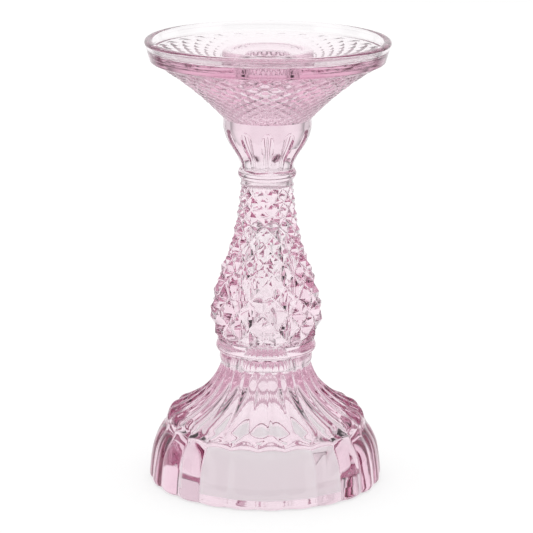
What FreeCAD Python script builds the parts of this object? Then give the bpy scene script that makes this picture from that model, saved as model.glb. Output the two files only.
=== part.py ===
import FreeCAD, Part
import math
import os
import Sketcher

# Pressed-glass candlestick. Millimetres, +Z up, origin at the middle of the resting circle.
# Seven glass sections stacked on one vertical axis, listed from the table upwards:
#   foot         bell-shaped thick-walled foot with scalloped wall and fluted flare
#   collar_ring  plain band and wide round ring between foot and stem
#   stem_body    diamond-cut baluster, hollow in its lower part
#   bead_ring    solid round bead on a short plain neck
#   neck         solid fluted flare under the dish
#   dish         solid cone with a plain rim band, a shallow recessed top and the candle hole
#   candle_ring  low rounded ring around the mouth of the candle hole
# One hollow runs up from the open underside of the foot into the stem.

os.makedirs("parts", exist_ok=True)
doc = FreeCAD.newDocument("glass_candlestick")

LINE = 0
OUT = 1
IN = -1

# ---------------------------------------------------------------- driving sizes
# Every point of a profile is (name, radius, height above the section's seat,
# arc radius of the edge leading to the next point, side the arc bows to).
# OUT bows to the left of the direction of travel, IN to the right, LINE is straight.

FOOT_PROFILE = [
    ("rest_inner", 37.6, 0.0, 0, LINE),
    ("rest_outer", 56.2, 0.0, 1.75, IN),
    ("heel", 57.7, 1.8, 108.0, IN),
    ("wall_mid", 56.2, 15.0, 25.0, IN),
    ("wall_top", 51.9, 25.0, 15.5, OUT),
    ("shoulder", 48.8, 31.5, 6.0, IN),
    ("flare_start", 44.8, 35.8, 45.6, OUT),
    ("flare_middle", 31.0, 44.6, 28.6, OUT),
    ("top_outer", 22.2, 59.0, 0, LINE),
    ("top_inner", 11.5, 59.0, 0, LINE),
    ("finger_end", 11.5, 48.0, 6.0, IN),
    ("ceiling_high", 13.4, 43.4, 0, LINE),
    ("ceiling_low", 35.8, 24.3, 4.0, OUT),
    ("inner_wall", 37.2, 21.3, 0, LINE),
]

COLLAR_PROFILE = [
    ("base_inner", 11.5, 0.0, 0, LINE),
    ("base_outer", 22.2, 0.0, 0, LINE),
    ("band_low", 22.3, 0.6, 7.0, IN),
    ("band_high", 22.5, 5.6, 0, LINE),
    ("ring_low", 23.5, 6.4, 2.9, IN),
    ("ring_high", 23.6, 11.0, 0, LINE),
    ("top_outer", 23.0, 12.5, 0, LINE),
    ("top_inner", 11.5, 12.5, 0, LINE),
]

BEAD_PROFILE = [
    ("base_axis", 0.0, 0.0, 0, LINE),
    ("base_outer", 12.6, 0.0, 0, LINE),
    ("bead_low", 12.6, 2.5, 3.2, IN),
    ("bead_high", 12.9, 7.9, 0, LINE),
    ("top_outer", 12.9, 8.2, 0, LINE),
    ("top_axis", 0.0, 8.2, 0, LINE),
]

NECK_PROFILE = [
    ("base_axis", 0.0, 0.0, 0, LINE),
    ("base_outer", 12.9, 0.0, 14.9, OUT),
    ("waist_high", 15.3, 6.8, 0, LINE),
    ("flare_low", 17.9, 10.8, 23.6, IN),
    ("flare_high", 21.6, 20.8, 0, LINE),
    ("top_outer", 21.4, 24.3, 0, LINE),
    ("top_axis", 0.0, 24.3, 0, LINE),
]

DISH_PROFILE = [
    ("base_axis", 0.0, 0.0, 0, LINE),
    ("base_outer", 21.4, 0.0, 146.6, OUT),
    ("cone_top", 56.3, 28.0, 1.0, IN),
    ("band_low", 57.2, 29.0, 0, LINE),
    ("band_high", 59.4, 36.2, 1.5, IN),
    ("lip_outer", 58.3, 38.5, 0, LINE),
    ("lip_inner", 57.0, 38.5, 1.5, IN),
    ("recess_high", 55.6, 37.0, 0, LINE),
    ("recess_low", 55.1, 35.2, 1.5, OUT),
    ("recess_edge", 53.6, 33.8, 0, LINE),
    ("ring_seat", 22.6, 30.5, 0, LINE),
    ("hole_mouth", 11.0, 30.5, 0, LINE),
    ("hole_floor", 11.0, 8.0, 0, LINE),
    ("hole_axis", 0.0, 8.0, 0, LINE),
]

RING_PROFILE = [
    ("base_inner", 11.0, 0.0, 0, LINE),
    ("base_outer", 22.2, 0.0, 2.2, IN),
    ("outer_high", 20.6, 2.2, 2.6, IN),
    ("crest", 17.6, 2.6, 0, LINE),
    ("mouth_edge", 12.2, 1.6, 1.2, IN),
    ("mouth_wall", 11.0, 0.5, 0, LINE),
]

STEM_HOLLOW_PROFILE = [
    ("base_axis", 0.0, 0.0, 0, LINE),
    ("base_edge", 11.5, 0.0, 0, LINE),
    ("belly", 12.4, 20.0, 60.0, IN),
    ("taper_low", 10.5, 40.0, 0, LINE),
    ("taper_high", 7.5, 53.0, 7.0, IN),
    ("tip_edge", 2.0, 58.5, 0, LINE),
    ("tip_axis", 0.0, 58.5, 0, LINE),
]

# Outline the diamond points touch: height above the stem's seat and radius.
STEM_OUTLINE = [
    ("bottom", 0.0, 24.0),
    ("low_edge", 3.0, 25.6),
    ("low_belly", 7.0, 27.2),
    ("belly", 14.0, 28.6),
    ("high_belly", 20.5, 26.8),
    ("shoulder", 28.5, 24.9),
    ("waist_low", 36.5, 22.2),
    ("waist", 45.0, 18.7),
    ("waist_high", 52.5, 16.7),
    ("slim_low", 60.0, 15.1),
    ("slim_high", 68.0, 14.0),
    ("top", 77.5, 13.0),
]

# The cut patterns of foot and stem start on a line `pattern_turn` degrees off -Y at the
# front, the neck's flutes on a line `neck_turn` degrees off it.
SIZES = [
    ("foot_height", 59.0),
    ("collar_height", 12.5),
    ("stem_height", 77.5),
    ("bead_height", 8.2),
    ("neck_height", 24.3),
    ("foot_flute_count", 24),
    ("foot_scallop_cutter", 3.0),
    ("foot_scallop_pitch_radius", 59.5),
    ("foot_scallop_reach", 34.0),
    ("neck_flute_count", 12),
    ("foot_flute_length", 15.0),
    ("foot_flute_width", 4.0),
    ("foot_flute_depth", 8.0),
    ("neck_flute_length", 12.5),
    ("neck_flute_width", 5.6),
    ("neck_flute_depth", 3.8),
    ("pattern_turn", -4.0),
    ("neck_turn", 0.5),
    ("diamond_count", 12),
    ("diamond_relief_ratio", 0.17),
    ("diamond_first_row", 3.0),
    ("diamond_rows", 16),
]

sheet = doc.addObject("Spreadsheet::Sheet", "Sizes")
sheet_rows = [0]


def add_size(alias, value):
    """One named number in the sheet; later features read it by its name."""
    sheet_rows[0] += 1
    row = sheet_rows[0]
    sheet.set("A%d" % row, alias.replace("_", " "))
    sheet.set("B%d" % row, str(value))
    sheet.setAlias("B%d" % row, alias)


def add_profile_sizes(section, profile):
    """Radius, height and arc radius of every profile point go into the sheet."""
    for name, radius, height, arc, side in profile:
        if radius:
            add_size("%s_%s_radius" % (section, name), radius)
        if height:
            add_size("%s_%s_height" % (section, name), height)
        if side != LINE:
            add_size("%s_%s_arc" % (section, name), arc)


PROFILES = [
    ("foot", FOOT_PROFILE),
    ("collar", COLLAR_PROFILE),
    ("bead", BEAD_PROFILE),
    ("neck", NECK_PROFILE),
    ("dish", DISH_PROFILE),
    ("ring", RING_PROFILE),
    ("hollow", STEM_HOLLOW_PROFILE),
]

for alias, value in SIZES:
    add_size(alias, value)
for section, profile in PROFILES:
    add_profile_sizes(section, profile)
for name, height, radius in STEM_OUTLINE:
    add_size("outline_%s_height" % name, height)
    add_size("outline_%s_radius" % name, radius)
doc.recompute()

# Height of each section's seat above the table, as a sum of sheet values.
SEATS = {
    "foot": "0 mm",
    "collar_ring": "Sizes.foot_height * 1 mm",
    "stem_body": "(Sizes.foot_height + Sizes.collar_height) * 1 mm",
    "bead_ring": "(Sizes.foot_height + Sizes.collar_height + Sizes.stem_height) * 1 mm",
    "neck": "(Sizes.foot_height + Sizes.collar_height + Sizes.stem_height"
            " + Sizes.bead_height) * 1 mm",
    "dish": "(Sizes.foot_height + Sizes.collar_height + Sizes.stem_height"
            " + Sizes.bead_height + Sizes.neck_height) * 1 mm",
    "candle_ring": "(Sizes.foot_height + Sizes.collar_height + Sizes.stem_height"
                   " + Sizes.bead_height + Sizes.neck_height + Sizes.dish_ring_seat_height) * 1 mm",
}


# ---------------------------------------------------------------- sketch helpers
def origin_plane(body, role):
    """The body's own reference plane with the given role."""
    for feature in body.Origin.OriginFeatures:
        if feature.Role == role:
            return feature
    raise RuntimeError("no plane " + role)


def arc_edge(start, end, radius, side):
    """Short circular arc between two points; OUT bows left of the travel direction."""
    dx = end[0] - start[0]
    dy = end[1] - start[1]
    chord = math.hypot(dx, dy)
    if chord / 2 > radius:
        raise RuntimeError("arc radius too small for its chord")
    sagitta = radius - math.sqrt(radius * radius - chord * chord / 4)
    left = (-dy / chord, dx / chord)
    middle = (
        (start[0] + end[0]) / 2 + side * sagitta * left[0],
        (start[1] + end[1]) / 2 + side * sagitta * left[1],
    )
    return Part.Arc(
        FreeCAD.Vector(start[0], start[1], 0),
        FreeCAD.Vector(middle[0], middle[1], 0),
        FreeCAD.Vector(end[0], end[1], 0),
    )


def edge_ends(sketch, index, start):
    """Which end of edge `index` lies on `start`: (start vertex, end vertex) numbers."""
    first = sketch.getPoint(index, 1)
    if math.hypot(first.x - start[0], first.y - start[1]) < 1e-5:
        return (1, 2)
    return (2, 1)


def bind(sketch, kind, references, value, expression):
    """A dimension on the sketch that follows the sheet."""
    number = sketch.addConstraint(Sketcher.Constraint(kind, *references, value))
    sketch.setExpression("Constraints[%d]" % number, expression)


def profile_sketch(body, section, profile):
    """Closed half-section in the body's XZ plane, fully driven by the sheet."""
    sketch = body.newObject("Sketcher::SketchObject", section + "_profile")
    sketch.AttachmentSupport = [(origin_plane(body, "XZ_Plane"), "")]
    sketch.MapMode = "FlatFace"
    ends = []
    count = len(profile)
    for i in range(count):
        _, r0, h0, arc, side = profile[i]
        _, r1, h1, _, _ = profile[(i + 1) % count]
        if side == LINE:
            edge = Part.LineSegment(FreeCAD.Vector(r0, h0, 0), FreeCAD.Vector(r1, h1, 0))
        else:
            edge = arc_edge((r0, h0), (r1, h1), arc, side)
        index = sketch.addGeometry(edge, False)
        ends.append(edge_ends(sketch, index, (r0, h0)))
    for i in range(count):
        after = (i + 1) % count
        joint = Sketcher.Constraint("Coincident", i, ends[i][1], after, ends[after][0])
        sketch.addConstraint(joint)
    for i in range(count):
        name, radius, height, arc, side = profile[i]
        label = "%s_%s" % (section, name)
        vertex = (i, ends[i][0])
        if radius:
            expression = "Sizes.%s_radius * 1 mm" % label
            bind(sketch, "DistanceX", (-1, 1) + vertex, radius, expression)
        else:
            sketch.addConstraint(Sketcher.Constraint("PointOnObject", *vertex, -2))
        if height:
            expression = "Sizes.%s_height * 1 mm" % label
            bind(sketch, "DistanceY", (-1, 1) + vertex, height, expression)
        else:
            sketch.addConstraint(Sketcher.Constraint("PointOnObject", *vertex, -1))
        if side != LINE:
            bind(sketch, "Radius", (i,), arc, "Sizes.%s_arc * 1 mm" % label)
    return sketch


def turned_body(name, section, profile):
    """A section of revolution about the candlestick's axis, set on its seat."""
    body = doc.addObject("PartDesign::Body", name)
    body.Label = name
    sketch = profile_sketch(body, section, profile)
    turned = body.newObject("PartDesign::Revolution", section + "_turned")
    turned.Profile = sketch
    turned.ReferenceAxis = (sketch, ["V_Axis"])
    turned.Angle = 360.0
    body.Placement = FreeCAD.Placement(FreeCAD.Vector(0, 0, 0), FreeCAD.Rotation())
    body.setExpression("Placement.Base.z", SEATS[name])
    doc.recompute()
    if not turned.Shape.isValid():
        raise RuntimeError(name + " did not turn into a valid solid")
    return body


def repeat_around(body, feature, count_alias):
    """The feature repeated evenly about the vertical axis."""
    pattern = body.newObject("PartDesign::PolarPattern", feature.Name + "_ring")
    pattern.Originals = [feature]
    for axis in body.Origin.OriginFeatures:
        if axis.Role == "Z_Axis":
            pattern.Axis = (axis, [""])
    pattern.Angle = 360.0
    pattern.setExpression("Occurrences", "Sizes." + count_alias)
    body.Tip = pattern
    doc.recompute()
    return pattern


def to_front(pattern_line):
    """Turn about the vertical axis from +X to a line near the front, in degrees off -Y."""
    turn = FreeCAD.Rotation(FreeCAD.Vector(0, 0, 1), pattern_line - 90)
    return FreeCAD.Placement(FreeCAD.Vector(0, 0, 0), turn)


def scoop(body, name, centre, tilt, pattern_line):
    """One teardrop flute: a long ellipsoid laid along the glass and taken away from it.

    `centre` is its radius and height in the section, `tilt` turns its length downwards
    from level, `pattern_line` is the line around the axis that it lies on. Its depth,
    length and width come from the sheet.
    """
    cut = body.newObject("PartDesign::SubtractiveEllipsoid", name)
    cut.setExpression("Radius1", "Sizes.%s_depth * 1 mm" % name)
    cut.setExpression("Radius2", "Sizes.%s_length * 1 mm" % name)
    cut.setExpression("Radius3", "Sizes.%s_width * 1 mm" % name)
    leaned = FreeCAD.Placement(
        FreeCAD.Vector(centre[0], 0, centre[1]),
        FreeCAD.Rotation(FreeCAD.Vector(0, 1, 0), tilt),
    )
    cut.Placement = to_front(pattern_line).multiply(leaned)
    doc.recompute()
    return cut


def must_remove_glass(before, after, what):
    """A cut that removes next to nothing means it went the wrong way."""
    least_volume = 200.0
    if before.cut(after).Volume < least_volume:
        raise RuntimeError(what + " removed no glass")


# ---------------------------------------------------------------- foot
foot = turned_body("foot", "foot", FOOT_PROFILE)
plain_foot = foot.Shape.copy()
scallop_sketch = foot.newObject("Sketcher::SketchObject", "scallop_circle")
scallop_sketch.AttachmentSupport = [(origin_plane(foot, "XY_Plane"), "")]
scallop_sketch.MapMode = "FlatFace"
scallop_sketch.AttachmentOffset = to_front(sheet.pattern_turn)
circle = Part.Circle(
    FreeCAD.Vector(sheet.foot_scallop_pitch_radius, 0, 0),
    FreeCAD.Vector(0, 0, 1),
    sheet.foot_scallop_cutter,
)
scallop_sketch.addGeometry(circle, False)
scallop_sketch.addConstraint(Sketcher.Constraint("PointOnObject", 0, 3, -1))
bind(scallop_sketch, "DistanceX", (-1, 1, 0, 3), sheet.foot_scallop_pitch_radius,
     "Sizes.foot_scallop_pitch_radius * 1 mm")
bind(scallop_sketch, "Radius", (0,), sheet.foot_scallop_cutter,
     "Sizes.foot_scallop_cutter * 1 mm")
scallop = foot.newObject("PartDesign::Pocket", "wall_scallop")
scallop.Profile = scallop_sketch
scallop.setExpression("Length", "Sizes.foot_scallop_reach * 1 mm")
scallop.Reversed = True
doc.recompute()
scallops = repeat_around(foot, scallop, "foot_flute_count")
must_remove_glass(plain_foot, scallops.Shape, "the ring of wall scallops")

scalloped_foot = foot.Shape.copy()
foot_flute = scoop(foot, "foot_flute", (35.6, 49.5), 42.9, sheet.pattern_turn)
foot_flutes = repeat_around(foot, foot_flute, "foot_flute_count")
must_remove_glass(scalloped_foot, foot_flutes.Shape, "the ring of foot flutes")

# ---------------------------------------------------------------- collar, bead
collar_ring = turned_body("collar_ring", "collar", COLLAR_PROFILE)
bead_ring = turned_body("bead_ring", "bead", BEAD_PROFILE)

# ---------------------------------------------------------------- neck
neck = turned_body("neck", "neck", NECK_PROFILE)
plain_neck = neck.Shape.copy()
neck_flute = scoop(neck, "neck_flute", (20.6, 11.0), -67.0, sheet.neck_turn)
neck_flutes = repeat_around(neck, neck_flute, "neck_flute_count")
must_remove_glass(plain_neck, neck_flutes.Shape, "the ring of neck flutes")

# ---------------------------------------------------------------- dish, candle ring
dish = turned_body("dish", "dish", DISH_PROFILE)
candle_ring = turned_body("candle_ring", "ring", RING_PROFILE)


# ---------------------------------------------------------------- diamond-cut stem
def outline_radius(height):
    """Radius the diamond points reach at a height above the stem's seat."""
    stations = [
        (getattr(sheet, "outline_%s_height" % name), getattr(sheet, "outline_%s_radius" % name))
        for name, _, _ in STEM_OUTLINE
    ]
    for (h0, r0), (h1, r1) in zip(stations, stations[1:]):
        if height <= h1:
            return r0 + (r1 - r0) * (height - h0) / (h1 - h0)
    return stations[-1][1]


def diamond_row_heights():
    """Heights of the rows of diamond centres; each diamond is as tall as it is wide."""
    height = sheet.diamond_first_row
    heights = [height]
    for _ in range(int(sheet.diamond_rows) - 1):
        target = math.pi * outline_radius(height) / sheet.diamond_count
        step = target / 8
        for _ in range(8):
            slope = (outline_radius(height + step) - outline_radius(height)) / step
            step_here = math.pi * outline_radius(height) / sheet.diamond_count / 8
            height += step_here / math.hypot(1.0, slope)
        heights.append(height)
    return heights


def ring_point(radius, turn, height):
    """Point at a radius and height, `turn` in steps of one diamond around the stem."""
    angle = 2 * math.pi * turn / sheet.diamond_count + math.radians(sheet.pattern_turn - 90)
    return FreeCAD.Vector(radius * math.cos(angle), radius * math.sin(angle), height)


def flat_face(points):
    """Planar face on a closed loop of points."""
    return Part.Face(Part.makePolygon(points + points[:1]))


def diamond_solid():
    """Solid of four-sided points on crossing diagonal grooves, with flat ends."""
    count = int(sheet.diamond_count)
    heights = diamond_row_heights()
    last = len(heights) - 1
    stem_top = sheet.stem_height
    faces = []

    def valley(row, turn):
        radius = outline_radius(heights[row])
        relief = sheet.diamond_relief_ratio * 2 * math.pi * radius / count
        return ring_point(radius - relief, turn, heights[row])

    def peak(row, turn):
        return ring_point(outline_radius(heights[row]), turn, heights[row])

    for row in range(last + 1):
        shift = 0.5 * (row % 2)
        for i in range(count):
            left = valley(row, i + shift)
            right = valley(row, i + 1 + shift)
            point = peak(row, i + 0.5 + shift)
            if row < last:
                above = valley(row + 1, i + 0.5 + shift)
                faces.append(flat_face([left, point, above]))
                faces.append(flat_face([point, right, above]))
            if row > 0:
                below = valley(row - 1, i + 0.5 + shift)
                faces.append(flat_face([left, below, point]))
                faces.append(flat_face([below, right, point]))

    def end_band(row, end_height, end_radius):
        shift = 0.5 * (row % 2)
        scale = end_radius / outline_radius(heights[row])
        edge = []
        for i in range(count):
            edge.append(valley(row, i + shift))
            edge.append(peak(row, i + 0.5 + shift))
        closing = [FreeCAD.Vector(p.x * scale, p.y * scale, end_height) for p in edge]
        for k in range(len(edge)):
            n = (k + 1) % len(edge)
            faces.append(flat_face([edge[k], edge[n], closing[n], closing[k]]))
        faces.append(flat_face(closing))

    end_band(0, 0.0, outline_radius(0.0))
    end_band(last, stem_top, outline_radius(stem_top))
    shell = Part.Shell(faces)
    solid = Part.Solid(shell)
    if solid.Volume < 0:
        solid.reverse()
    return solid


stem_blank = doc.addObject("Part::Feature", "stem_blank")
stem_blank.Label = "diamond cut blank"
stem_blank.Shape = diamond_solid()

stem_core = doc.addObject("PartDesign::Body", "stem_core")
stem_core.Label = "stem hollow"
core_sketch = profile_sketch(stem_core, "hollow", STEM_HOLLOW_PROFILE)
core_turned = stem_core.newObject("PartDesign::Revolution", "hollow_turned")
core_turned.Profile = core_sketch
core_turned.ReferenceAxis = (core_sketch, ["V_Axis"])
core_turned.Angle = 360.0

stem_body = doc.addObject("Part::Cut", "stem_body")
stem_body.Label = "stem_body"
stem_body.Base = stem_blank
stem_body.Tool = stem_core
stem_body.setExpression("Placement.Base.z", SEATS["stem_body"])
doc.recompute()

# ---------------------------------------------------------------- checks and export
for item in doc.Objects:
    if "Invalid" in item.State or "Error" in item.State:
        raise RuntimeError("%s is in state %s" % (item.Name, item.State))

SUB_PARTS = [foot, collar_ring, stem_body, bead_ring, neck, dish, candle_ring]
for item in SUB_PARTS:
    shape = item.Shape
    if shape.isNull() or not shape.isValid() or len(shape.Solids) != 1:
        raise RuntimeError(item.Label + " is not one valid solid")
    box = shape.optimalBoundingBox()
    print("%-12s volume %9.0f mm3  z %6.1f to %6.1f  widest %6.1f" % (
        item.Label, shape.Volume, box.ZMin, box.ZMax, box.XLength))
    shape.exportStep("parts/%s.step" % item.Label)
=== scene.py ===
import math

import bpy
import numpy as np
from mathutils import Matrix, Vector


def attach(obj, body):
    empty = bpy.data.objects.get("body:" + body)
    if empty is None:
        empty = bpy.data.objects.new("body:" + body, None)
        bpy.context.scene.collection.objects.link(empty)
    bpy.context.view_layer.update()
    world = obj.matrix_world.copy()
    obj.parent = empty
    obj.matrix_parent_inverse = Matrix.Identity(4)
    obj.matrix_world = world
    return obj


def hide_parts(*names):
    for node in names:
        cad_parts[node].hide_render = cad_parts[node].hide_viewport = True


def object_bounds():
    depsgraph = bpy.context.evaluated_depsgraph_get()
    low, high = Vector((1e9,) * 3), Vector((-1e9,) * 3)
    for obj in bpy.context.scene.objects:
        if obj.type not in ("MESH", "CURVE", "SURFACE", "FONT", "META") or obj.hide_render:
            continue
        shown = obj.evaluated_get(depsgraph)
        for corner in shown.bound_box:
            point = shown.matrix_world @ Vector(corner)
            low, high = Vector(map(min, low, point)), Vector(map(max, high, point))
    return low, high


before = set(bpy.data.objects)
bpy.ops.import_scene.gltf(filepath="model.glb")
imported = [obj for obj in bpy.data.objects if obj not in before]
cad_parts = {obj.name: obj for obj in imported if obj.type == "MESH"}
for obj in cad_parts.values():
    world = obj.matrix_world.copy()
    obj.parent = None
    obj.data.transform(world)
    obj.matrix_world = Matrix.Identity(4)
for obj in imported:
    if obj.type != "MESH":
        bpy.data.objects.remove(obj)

# Pressed-glass candlestick, built as seven closed glass pieces on one upright axis.
# Outlines are in millimetres and become metres when a mesh is made.
# Angles around the axis are in degrees from the front (-Y), positive towards +X.

cad_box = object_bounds()
MM = 0.001

LINE = 0
OUT = 1
IN = -1

PATTERN_TURN = -4.0     # the foot's lobes and the stem's diamonds are set from this line
NECK_TURN = 0.5         # the middle of the neck flute nearest the front
JOIN = 0.02             # each fused section reaches this far into the one above


# ---------------------------------------------------------------- outlines
# A point is (radius, height above the section's seat, arc radius of the edge that
# follows, side the arc bows to). OUT bows to the left of travel, IN to the right.

FOOT = [
    (37.6, 0.0, 0, LINE),
    (56.2, 0.0, 1.75, IN),
    (57.7, 1.8, 108.0, IN),
    (56.2, 15.0, 25.0, IN),
    (51.9, 25.0, 15.5, OUT),
    (48.8, 31.5, 6.0, IN),
    (44.8, 35.8, 45.6, OUT),
    (31.0, 44.6, 28.6, OUT),
    (22.2, 59.0, 0, LINE),
    (11.5, 59.0, 0, LINE),
    (11.5, 48.0, 6.0, IN),
    (13.4, 43.4, 0, LINE),
    (35.8, 24.3, 4.0, OUT),
    (37.2, 21.3, 0, LINE),
]
FOOT_OUTER_EDGES = range(1, 8)
FOOT_LOBES = 24
FOOT_WALL_TOP = 25.0
FOOT_SHOULDER = 31.0

COLLAR = [
    (11.5, 0.0, 0, LINE),
    (22.2, 0.0, 0, LINE),
    (22.3, 0.6, 7.0, IN),
    (22.5, 5.6, 0, LINE),
    (23.5, 6.4, 2.9, IN),
    (23.6, 11.0, 0, LINE),
    (23.0, 12.5, 0, LINE),
    (11.5, 12.5, 0, LINE),
]

BEAD = [
    (0.0, 0.0, 0, LINE),
    (12.6, 0.0, 0, LINE),
    (12.6, 2.5, 3.2, IN),
    (12.9, 7.9, 0, LINE),
    (12.9, 8.2, 0, LINE),
    (0.0, 8.2, 0, LINE),
]

NECK = [
    (0.0, 0.0, 0, LINE),
    (12.9, 0.0, 14.9, OUT),
    (15.3, 6.8, 0, LINE),
    (17.9, 10.8, 23.6, IN),
    (21.6, 20.8, 0, LINE),
    (21.4, 24.3, 0, LINE),
    (0.0, 24.3, 0, LINE),
]
NECK_OUTER_EDGES = range(1, 5)
NECK_FLUTES = 12
NECK_FLUTE_TOP = 20.3

DISH = [
    (0.0, 0.0, 0, LINE),
    (21.4, 0.0, 146.6, OUT),
    (56.3, 28.0, 1.0, IN),
    (57.2, 29.0, 0, LINE),
    (59.4, 36.2, 1.5, IN),
    (58.3, 38.5, 0, LINE),
    (57.0, 38.5, 1.5, IN),
    (55.6, 37.0, 0, LINE),
    (55.1, 35.2, 1.5, OUT),
    (53.6, 33.8, 0, LINE),
    (22.6, 30.5, 0, LINE),
    (11.0, 30.5, 0, LINE),
    (11.0, 8.0, 0, LINE),
    (0.0, 8.0, 0, LINE),
]
DISH_CONE_EDGES = range(1, 2)
DISH_RECESS = 30.5      # height of the recessed top where the ring sits

RING = [
    (11.0, 0.0, 0, LINE),
    (22.2, 0.0, 0, LINE),
    (22.2, 0.9, 2.0, IN),
    (19.8, 2.85, 2.6, IN),
    (17.6, 1.6, 0, LINE),
    (12.2, 0.9, 1.0, IN),
    (11.0, 0.3, 0, LINE),
]

# Diamond-cut stem: height above its seat and the radius that the points reach.
STEM_TOP = 77.5
STEM_OUTLINE = [
    (0.0, 24.0),
    (3.0, 25.6),
    (7.0, 27.2),
    (14.0, 28.6),
    (20.5, 26.8),
    (28.5, 24.9),
    (36.5, 22.2),
    (45.0, 18.7),
    (52.5, 16.7),
    (60.0, 15.1),
    (68.0, 14.0),
    (77.5, 13.0),
]
STEM_HOLLOW = [
    (0.0, 58.5, 0, LINE),
    (2.0, 58.5, 7.0, OUT),
    (7.5, 53.0, 0, LINE),
    (10.5, 40.0, 60.0, OUT),
    (12.4, 20.0, 0, LINE),
    (11.5, 0.0, 0, LINE),
]


def arc_point(start, end, radius, side, share):
    """Point and outward normal at a share of the way along one edge of an outline."""
    r0, z0 = start
    r1, z1 = end
    chord = math.hypot(r1 - r0, z1 - z0)
    left = (-(z1 - z0) / chord, (r1 - r0) / chord)
    if side == LINE:
        point = (r0 + (r1 - r0) * share, z0 + (z1 - z0) * share)
        return point, (-left[0], -left[1])
    reach = side * math.sqrt(radius ** 2 - chord ** 2 / 4)
    centre = ((r0 + r1) / 2 - left[0] * reach, (z0 + z1) / 2 - left[1] * reach)
    first = math.atan2(z0 - centre[1], r0 - centre[0])
    last = math.atan2(z1 - centre[1], r1 - centre[0])
    turn = (last - first + math.pi) % (2 * math.pi) - math.pi
    angle = first + turn * share
    point = (centre[0] + radius * math.cos(angle), centre[1] + radius * math.sin(angle))
    return point, (-side * math.cos(angle), -side * math.sin(angle))


def sample_outline(points, spacing, closed):
    """Radius, height, normal and edge number of evenly spaced samples of an outline."""
    rows = []
    edges = len(points) if closed else len(points) - 1
    for k in range(edges):
        r0, z0, arc, side = points[k]
        r1, z1 = points[(k + 1) % len(points)][:2]
        steps = max(1, math.ceil(math.hypot(r1 - r0, z1 - z0) / spacing))
        for i in range(steps):
            point, normal = arc_point((r0, z0), (r1, z1), arc, side, i / steps)
            rows.append((*point, *normal, k))
    if not closed:
        r0, z0 = points[-1][:2]
        rows.append((r0, z0, 0.0, 1.0, edges - 1))
    return np.array(rows)


# ---------------------------------------------------------------- meshes
def ring_mesh(name, grid, poles, cell_diagonals=None):
    """Mesh from a grid of points (rings, turns, xyz) in millimetres, closed around the axis.
    Without poles the last ring joins the first; with poles both end rings are one point."""
    rings, turns = grid.shape[:2]
    if poles:
        body = grid[1:-1].reshape(-1, 3)
        vertices = np.vstack([grid[0, :1], body, grid[-1, :1]])
        rings -= 2
        first = 1
    else:
        vertices = grid.reshape(-1, 3)
        first = 0
    faces = []
    for j in range(rings if not poles else rings - 1):
        near = first + j * turns
        far = first + ((j + 1) % rings) * turns
        for i in range(turns):
            k = (i + 1) % turns
            quad = (near + i, near + k, far + k, far + i)
            if cell_diagonals is None:
                faces.append(quad)
            elif cell_diagonals[j, i]:
                faces.append((quad[0], quad[1], quad[2]))
                faces.append((quad[0], quad[2], quad[3]))
            else:
                faces.append((quad[0], quad[1], quad[3]))
                faces.append((quad[1], quad[2], quad[3]))
    if poles:
        last = len(vertices) - 1
        top = first + (rings - 1) * turns
        for i in range(turns):
            k = (i + 1) % turns
            faces.append((0, first + k, first + i))
            faces.append((top + i, top + k, last))
    mesh = bpy.data.meshes.new(name)
    mesh.from_pydata((vertices * MM).tolist(), [], faces)
    mesh.validate()
    mesh.shade_smooth()
    piece = bpy.data.objects.new(name, mesh)
    bpy.context.scene.collection.objects.link(piece)
    return piece


def crisp_edges(piece, degrees):
    """Edges sharper than an angle stay crisp; the rest shade smoothly."""
    piece.data.set_sharp_from_angle(angle=math.radians(degrees))


def turned_piece(name, points, seat, spacing, turns, relief=None, closed=True, crisp=35.0):
    """A section turned about the axis, with the pattern's depth pressed in along the normals."""
    rows = sample_outline(points, spacing, closed)
    radius, height, normal_r, normal_z, edge = (rows[:, k:k + 1] for k in range(5))
    angle = np.arange(turns) * 360.0 / turns
    depth = np.zeros((len(rows), turns))
    if relief is not None:
        depth = relief(angle[None, :], radius, height, edge)
    r = radius - depth * normal_r
    z = seat + height - depth * normal_z
    theta = np.radians(angle - 90.0)[None, :]
    grid = np.stack([r * np.cos(theta), r * np.sin(theta), z + 0 * theta], axis=-1)
    piece = ring_mesh(name, grid, poles=not closed)
    crisp_edges(piece, crisp)
    return piece


def with_top_joint(points):
    """The outline with its flat top lifted into the section above it."""
    top = max(point[1] for point in points)
    return [(r, z + JOIN if z == top else z, arc, side) for r, z, arc, side in points]


def fade(value, start, end):
    """Smooth 0 to 1 between two values."""
    share = np.clip((value - start) / (end - start), 0.0, 1.0)
    return share * share * (3.0 - 2.0 * share)


# ---------------------------------------------------------------- cut patterns
def round_end(share):
    """Width of a flute's round end, as a share of its full width, 0 to 1 along the end."""
    return np.sqrt(np.maximum(1.0 - (1.0 - share) ** 2, 1e-6))


def foot_relief(angle, radius, height, edge):
    """Convex lobes on the wall; above the shoulder, round-ended flutes up the flare."""
    pitch = 360.0 / FOOT_LOBES
    share = ((angle - PATTERN_TURN) / pitch) % 1.0
    from_valley = 2.0 * np.minimum(share, 1.0 - share)
    lobes = 0.95 * (1.0 - from_valley) ** 2.2 * (1.0 - fade(height, FOOT_WALL_TOP, FOOT_SHOULDER))
    opening = round_end(np.clip((height - FOOT_SHOULDER) / 5.0, 0.0, 1.0))
    half_width = 0.9 * opening
    flutes = 0.036 * radius * opening * np.clip(1.0 - (from_valley / half_width) ** 2, 0.0, 1.0)
    outer = np.isin(edge, list(FOOT_OUTER_EDGES))
    return np.where(outer, lobes + np.where(height > FOOT_SHOULDER, flutes, 0.0), 0.0)


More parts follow.
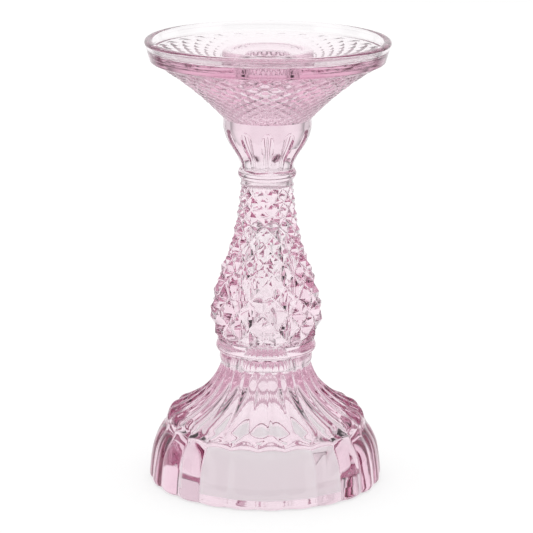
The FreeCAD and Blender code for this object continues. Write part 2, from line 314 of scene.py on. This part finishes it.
def neck_relief(angle, radius, height, edge):
    """Tear-shaped flutes with round tops, narrowing down to the bead."""
    pitch = 360.0 / NECK_FLUTES
    off_centre = np.abs((angle - NECK_TURN + pitch / 2) % pitch - pitch / 2)
    opening = round_end(np.clip((NECK_FLUTE_TOP - height) / 5.5, 0.0, 1.0))
    half_width = (6.0 + 2.5 * np.clip(height / 15.0, 0.0, 1.0)) * opening
    deepest = 0.8 + 0.8 * np.clip(height / 12.0, 0.0, 1.0)
    flutes = deepest * opening * np.clip(1.0 - (off_centre / half_width) ** 2, 0.0, 1.0)
    outer = np.isin(edge, list(NECK_OUTER_EDGES)) & (height < NECK_FLUTE_TOP)
    return np.where(outer, flutes, 0.0)


HOBNAIL_COUNT = 30
HOBNAIL_TURN = -1.4
HOBNAIL_TOP = 27.0


def dish_relief(angle, radius, height, edge):
    """Staggered rows of rounded hobnails on the underside of the cone."""
    cone = np.isin(edge, list(DISH_CONE_EDGES))[:, 0]
    step = np.zeros(len(radius))
    step[1:] = np.hypot(np.diff(radius[:, 0]), np.diff(height[:, 0]))
    rows = np.where(cone, step * HOBNAIL_COUNT / (0.8 * math.pi * radius[:, 0].clip(1.0)), 0.0)
    climbed = np.cumsum(rows)
    at_top = np.interp(HOBNAIL_TOP, height[cone, 0], climbed[cone])
    row = (climbed - at_top)[:, None]
    around = (angle - HOBNAIL_TURN) * HOBNAIL_COUNT / 360.0
    u = (around + 0.5 + row / 2.0) % 1.0 - 0.5
    v = (around + 0.5 - row / 2.0) % 1.0 - 0.5
    dome = np.clip(1.0 - 3.2 * (u * u + v * v), 0.0, 1.0)
    size = 0.10 * 2.0 * math.pi * radius / HOBNAIL_COUNT
    ends = fade(height, 0.3, 2.0) * (1.0 - fade(height, HOBNAIL_TOP - 0.3, HOBNAIL_TOP + 0.9))
    pressed = size * (1.0 - dome) * ends
    return np.where(cone[:, None], pressed, 0.0)


# ---------------------------------------------------------------- diamond-cut stem
DIAMONDS = 12
STEM_STEPS = 10         # grid cells from one row of diamonds to the next
STEM_RELIEF = 0.17      # groove depth as a share of a diamond's width


def stem_outline_radius(height):
    """Radius that the points of the diamonds reach at a height."""
    heights, radii = zip(*STEM_OUTLINE)
    return np.interp(height, heights, radii)


def stem_row_heights():
    """Height of each grid line, and how many lie below the first row of diamonds.
    Diamonds stay as tall as they are wide."""
    first_row = 3.0
    heights = [first_row]
    while heights[-1] < STEM_TOP:
        h = heights[-1]
        r = float(stem_outline_radius(h))
        slope = float(stem_outline_radius(h + 0.5)) - float(stem_outline_radius(h - 0.5))
        heights.append(h + math.pi * r / DIAMONDS / STEM_STEPS / math.hypot(1.0, slope))
    h = first_row
    below = []
    while h > 0.0:
        h -= math.pi * float(stem_outline_radius(h)) / DIAMONDS / STEM_STEPS
        below.append(h)
    return below[::-1] + heights, len(below)


def stem_piece(name, seat):
    """Four-sided points between crossing flat-bottomed grooves, over a smooth hollow."""
    heights, zero = stem_row_heights()
    heights = np.clip(np.array(heights), 0.0, STEM_TOP)
    heights = heights[np.concatenate([[True], np.diff(heights) > 1e-6])]
    turns = DIAMONDS * 2 * STEM_STEPS
    i = np.arange(turns)[None, :]
    j = (np.arange(len(heights)) - zero)[:, None]
    u = ((i + j) / (2.0 * STEM_STEPS)) % 1.0
    v = ((i - j) / (2.0 * STEM_STEPS)) % 1.0
    nearest = np.minimum(np.minimum(u, 1.0 - u), np.minimum(v, 1.0 - v))
    groove = 0.5 / STEM_STEPS
    rise = np.clip((nearest - groove) / (0.5 - groove), 0.0, 1.0)
    h = heights[:, None]
    r_out = stem_outline_radius(h)
    relief = STEM_RELIEF * 2.0 * math.pi * r_out / DIAMONDS
    ends = fade(h, 0.0, 1.6) * (1.0 - fade(h, STEM_TOP - 0.6, STEM_TOP))
    r = r_out - relief * (1.0 - rise) * ends
    theta = np.radians(PATTERN_TURN - 90.0 + i * 360.0 / turns)
    outer = np.stack([r * np.cos(theta), r * np.sin(theta), seat + h + 0 * theta], -1)
    rows = sample_outline(STEM_HOLLOW, 1.2, False)
    inner_r = rows[:, 0:1]
    inner_z = rows[:, 1:2]
    inner = np.stack([inner_r * np.cos(theta), inner_r * np.sin(theta), seat + inner_z + 0 * theta], -1)
    top = outer[-1:] * [0.0, 0.0, 1.0]
    outer[-1, :, 2] += JOIN
    top[0, :, 2] += JOIN
    grid = np.vstack([inner, outer, top])
    diagonals = np.zeros(grid.shape[:2], bool)
    in_u = ((i + j) // STEM_STEPS) % 2
    in_v = ((i - j) // STEM_STEPS) % 2
    diagonals[len(inner):-1] = in_u != in_v
    piece = ring_mesh(name, grid, poles=True, cell_diagonals=diagonals[1:-1])
    crisp_edges(piece, 11.0)
    return piece


# ---------------------------------------------------------------- build the pieces
SEAT = {"foot": 0.0, "collar_ring": 59.0, "stem_body": 71.5, "bead_ring": 149.0, "neck": 157.2,
        "dish": 181.5}

pieces = {}
pieces["foot"] = turned_piece(
    "fluted_foot", with_top_joint(FOOT), SEAT["foot"], 0.9, 480, foot_relief)
pieces["collar_ring"] = turned_piece(
    "stepped_collar", with_top_joint(COLLAR), SEAT["collar_ring"], 0.5, 240)
pieces["stem_body"] = stem_piece("diamond_stem", SEAT["stem_body"])
pieces["bead_ring"] = turned_piece(
    "round_bead", with_top_joint(BEAD), SEAT["bead_ring"], 0.5, 240, closed=False)
pieces["neck"] = turned_piece(
    "fluted_neck", with_top_joint(NECK), SEAT["neck"], 0.45, 360, neck_relief, closed=False)
pieces["dish"] = turned_piece(
    "hobnail_dish", DISH, SEAT["dish"], 0.6, 600, dish_relief, closed=False)
pieces["candle_ring"] = turned_piece(
    "mouth_ring", RING, SEAT["dish"] + DISH_RECESS - JOIN, 0.5, 240)


# ---------------------------------------------------------------- glass
def pink_glass():
    """Clear pink pressed glass: tint from depth, with faint ripples of the mould."""
    material = bpy.data.materials.new("pink_pressed_glass")
    material.use_nodes = True
    nodes = material.node_tree.nodes
    links = material.node_tree.links
    shader = nodes["Principled BSDF"]
    output = nodes["Material Output"]
    shader.inputs["Base Color"].default_value = (1.0, 1.0, 1.0, 1.0)
    shader.inputs["Transmission Weight"].default_value = 1.0
    shader.inputs["IOR"].default_value = 1.5
    shader.inputs["Specular IOR Level"].default_value = 0.5

    place = nodes.new("ShaderNodeTexCoord")
    ripple = nodes.new("ShaderNodeTexNoise")
    ripple.inputs["Scale"].default_value = 90.0
    ripple.inputs["Detail"].default_value = 2.0
    links.new(place.outputs["Object"], ripple.inputs["Vector"])
    bump = nodes.new("ShaderNodeBump")
    bump.inputs["Strength"].default_value = 0.12
    bump.inputs["Distance"].default_value = 0.0004
    links.new(ripple.outputs["Fac"], bump.inputs["Height"])
    links.new(bump.outputs["Normal"], shader.inputs["Normal"])

    haze = nodes.new("ShaderNodeTexNoise")
    haze.inputs["Scale"].default_value = 25.0
    haze.inputs["Detail"].default_value = 3.0
    links.new(place.outputs["Object"], haze.inputs["Vector"])
    gloss = nodes.new("ShaderNodeMapRange")
    gloss.inputs["To Min"].default_value = 0.0
    gloss.inputs["To Max"].default_value = 0.03
    links.new(haze.outputs["Fac"], gloss.inputs["Value"])
    links.new(gloss.outputs["Result"], shader.inputs["Roughness"])

    tint = nodes.new("ShaderNodeVolumeAbsorption")
    tint.inputs["Color"].default_value = (0.87, 0.50, 0.68, 1.0)
    tint.inputs["Density"].default_value = 15.0
    links.new(tint.outputs["Volume"], output.inputs["Volume"])
    return material


glass = pink_glass()
for node, piece in pieces.items():
    piece.data.materials.append(glass)
    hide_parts(node)
    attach(piece, "root")


# ---------------------------------------------------------------- floor, light, camera
def plain_floor():
    """Pale table top that glows a little. It runs far back, and ends a short way before the
    foot and beyond the picture's sides."""
    mesh = bpy.data.meshes.new("table_top")
    side = 0.32
    front = -0.12
    back = 1.6
    mesh.from_pydata([(-side, front, 0), (side, front, 0), (side, back, 0), (-side, back, 0)],
                     [], [(0, 1, 2, 3)])
    floor = bpy.data.objects.new("table_top", mesh)
    floor.location.z = cad_box[0][2] - 0.0002
    bpy.context.scene.collection.objects.link(floor)
    material = bpy.data.materials.new("white_paper")
    material.use_nodes = True
    nodes = material.node_tree.nodes
    shader = nodes["Principled BSDF"]
    shader.inputs["Base Color"].default_value = (0.40, 0.40, 0.40, 1.0)
    shader.inputs["Emission Color"].default_value = (1.0, 1.0, 1.0, 1.0)
    shader.inputs["Emission Strength"].default_value = 0.65
    shader.inputs["Roughness"].default_value = 0.9
    shader.inputs["Specular IOR Level"].default_value = 0.0
    mesh.materials.append(material)
    return floor


def studio_world():
    """Bright backdrop behind, a weaker soft box on each side, one overhead, and a dim room in
    front. The camera sees plain white in every direction, and matt surfaces get extra light."""
    world = bpy.data.worlds.new("studio")
    bpy.context.scene.world = world
    world.use_nodes = True
    nodes = world.node_tree.nodes
    links = world.node_tree.links
    background = nodes["Background"]
    place = nodes.new("ShaderNodeTexCoord")
    split = nodes.new("ShaderNodeSeparateXYZ")
    links.new(place.outputs["Generated"], split.inputs["Vector"])

    def ramp(source, start, end, low, high):
        node = nodes.new("ShaderNodeMapRange")
        node.interpolation_type = "SMOOTHSTEP"
        node.inputs["From Min"].default_value = start
        node.inputs["From Max"].default_value = end
        node.inputs["To Min"].default_value = low
        node.inputs["To Max"].default_value = high
        links.new(source, node.inputs["Value"])
        return node.outputs["Result"]

    def combine(operation, first, second):
        node = nodes.new("ShaderNodeMath")
        node.operation = operation
        for socket, value in zip(node.inputs, (first, second)):
            if isinstance(value, float):
                socket.default_value = value
            else:
                links.new(value, socket)
        return node.outputs["Value"]

    room = ramp(split.outputs["Y"], 0.62, 0.86, 0.06, 1.0)
    away = combine("ABSOLUTE", split.outputs["X"], 0.0)
    beside = combine("MULTIPLY", ramp(away, 0.66, 0.74, 0.0, 0.8), ramp(away, 0.92, 0.98, 1.0, 0.0))
    low = ramp(split.outputs["Z"], 0.45, 0.65, 1.0, 0.0)
    above = ramp(split.outputs["Z"], 0.70, 0.85, 0.0, 0.9)
    box = combine("MAXIMUM", combine("MULTIPLY", beside, low), above)
    light = combine("MAXIMUM", room, box)
    path = nodes.new("ShaderNodeLightPath")
    seen = combine("MAXIMUM", light, path.outputs["Is Camera Ray"])
    strength = combine("ADD", seen, combine("MULTIPLY", path.outputs["Is Diffuse Ray"], 0.6))
    links.new(strength, background.inputs["Strength"])
    background.inputs["Color"].default_value = (1.0, 1.0, 1.0, 1.0)


def studio_camera():
    """Long lens in front of the candlestick, a little above its rim."""
    data = bpy.data.cameras.new("camera")
    camera = bpy.data.objects.new("camera", data)
    bpy.context.scene.collection.objects.link(camera)
    data.sensor_width = 36.0
    data.lens = 182.45
    data.clip_end = 20.0
    pitch = 0.24535
    roll = 0.0066
    camera.rotation_mode = "XYZ"
    camera.location = (0.0, -1.28803, 0.42953)
    camera.rotation_euler = (math.pi / 2 - pitch, 0.0, 0.0)
    bpy.context.view_layer.update()
    camera.rotation_euler.rotate_axis("Z", roll)
    bpy.context.scene.camera = camera


plain_floor()
studio_world()
studio_camera()

scene = bpy.context.scene
scene.view_settings.view_transform = "Standard"
scene.cycles.max_bounces = 32
scene.cycles.transmission_bounces = 32
scene.cycles.glossy_bounces = 12
scene.cycles.volume_bounces = 0
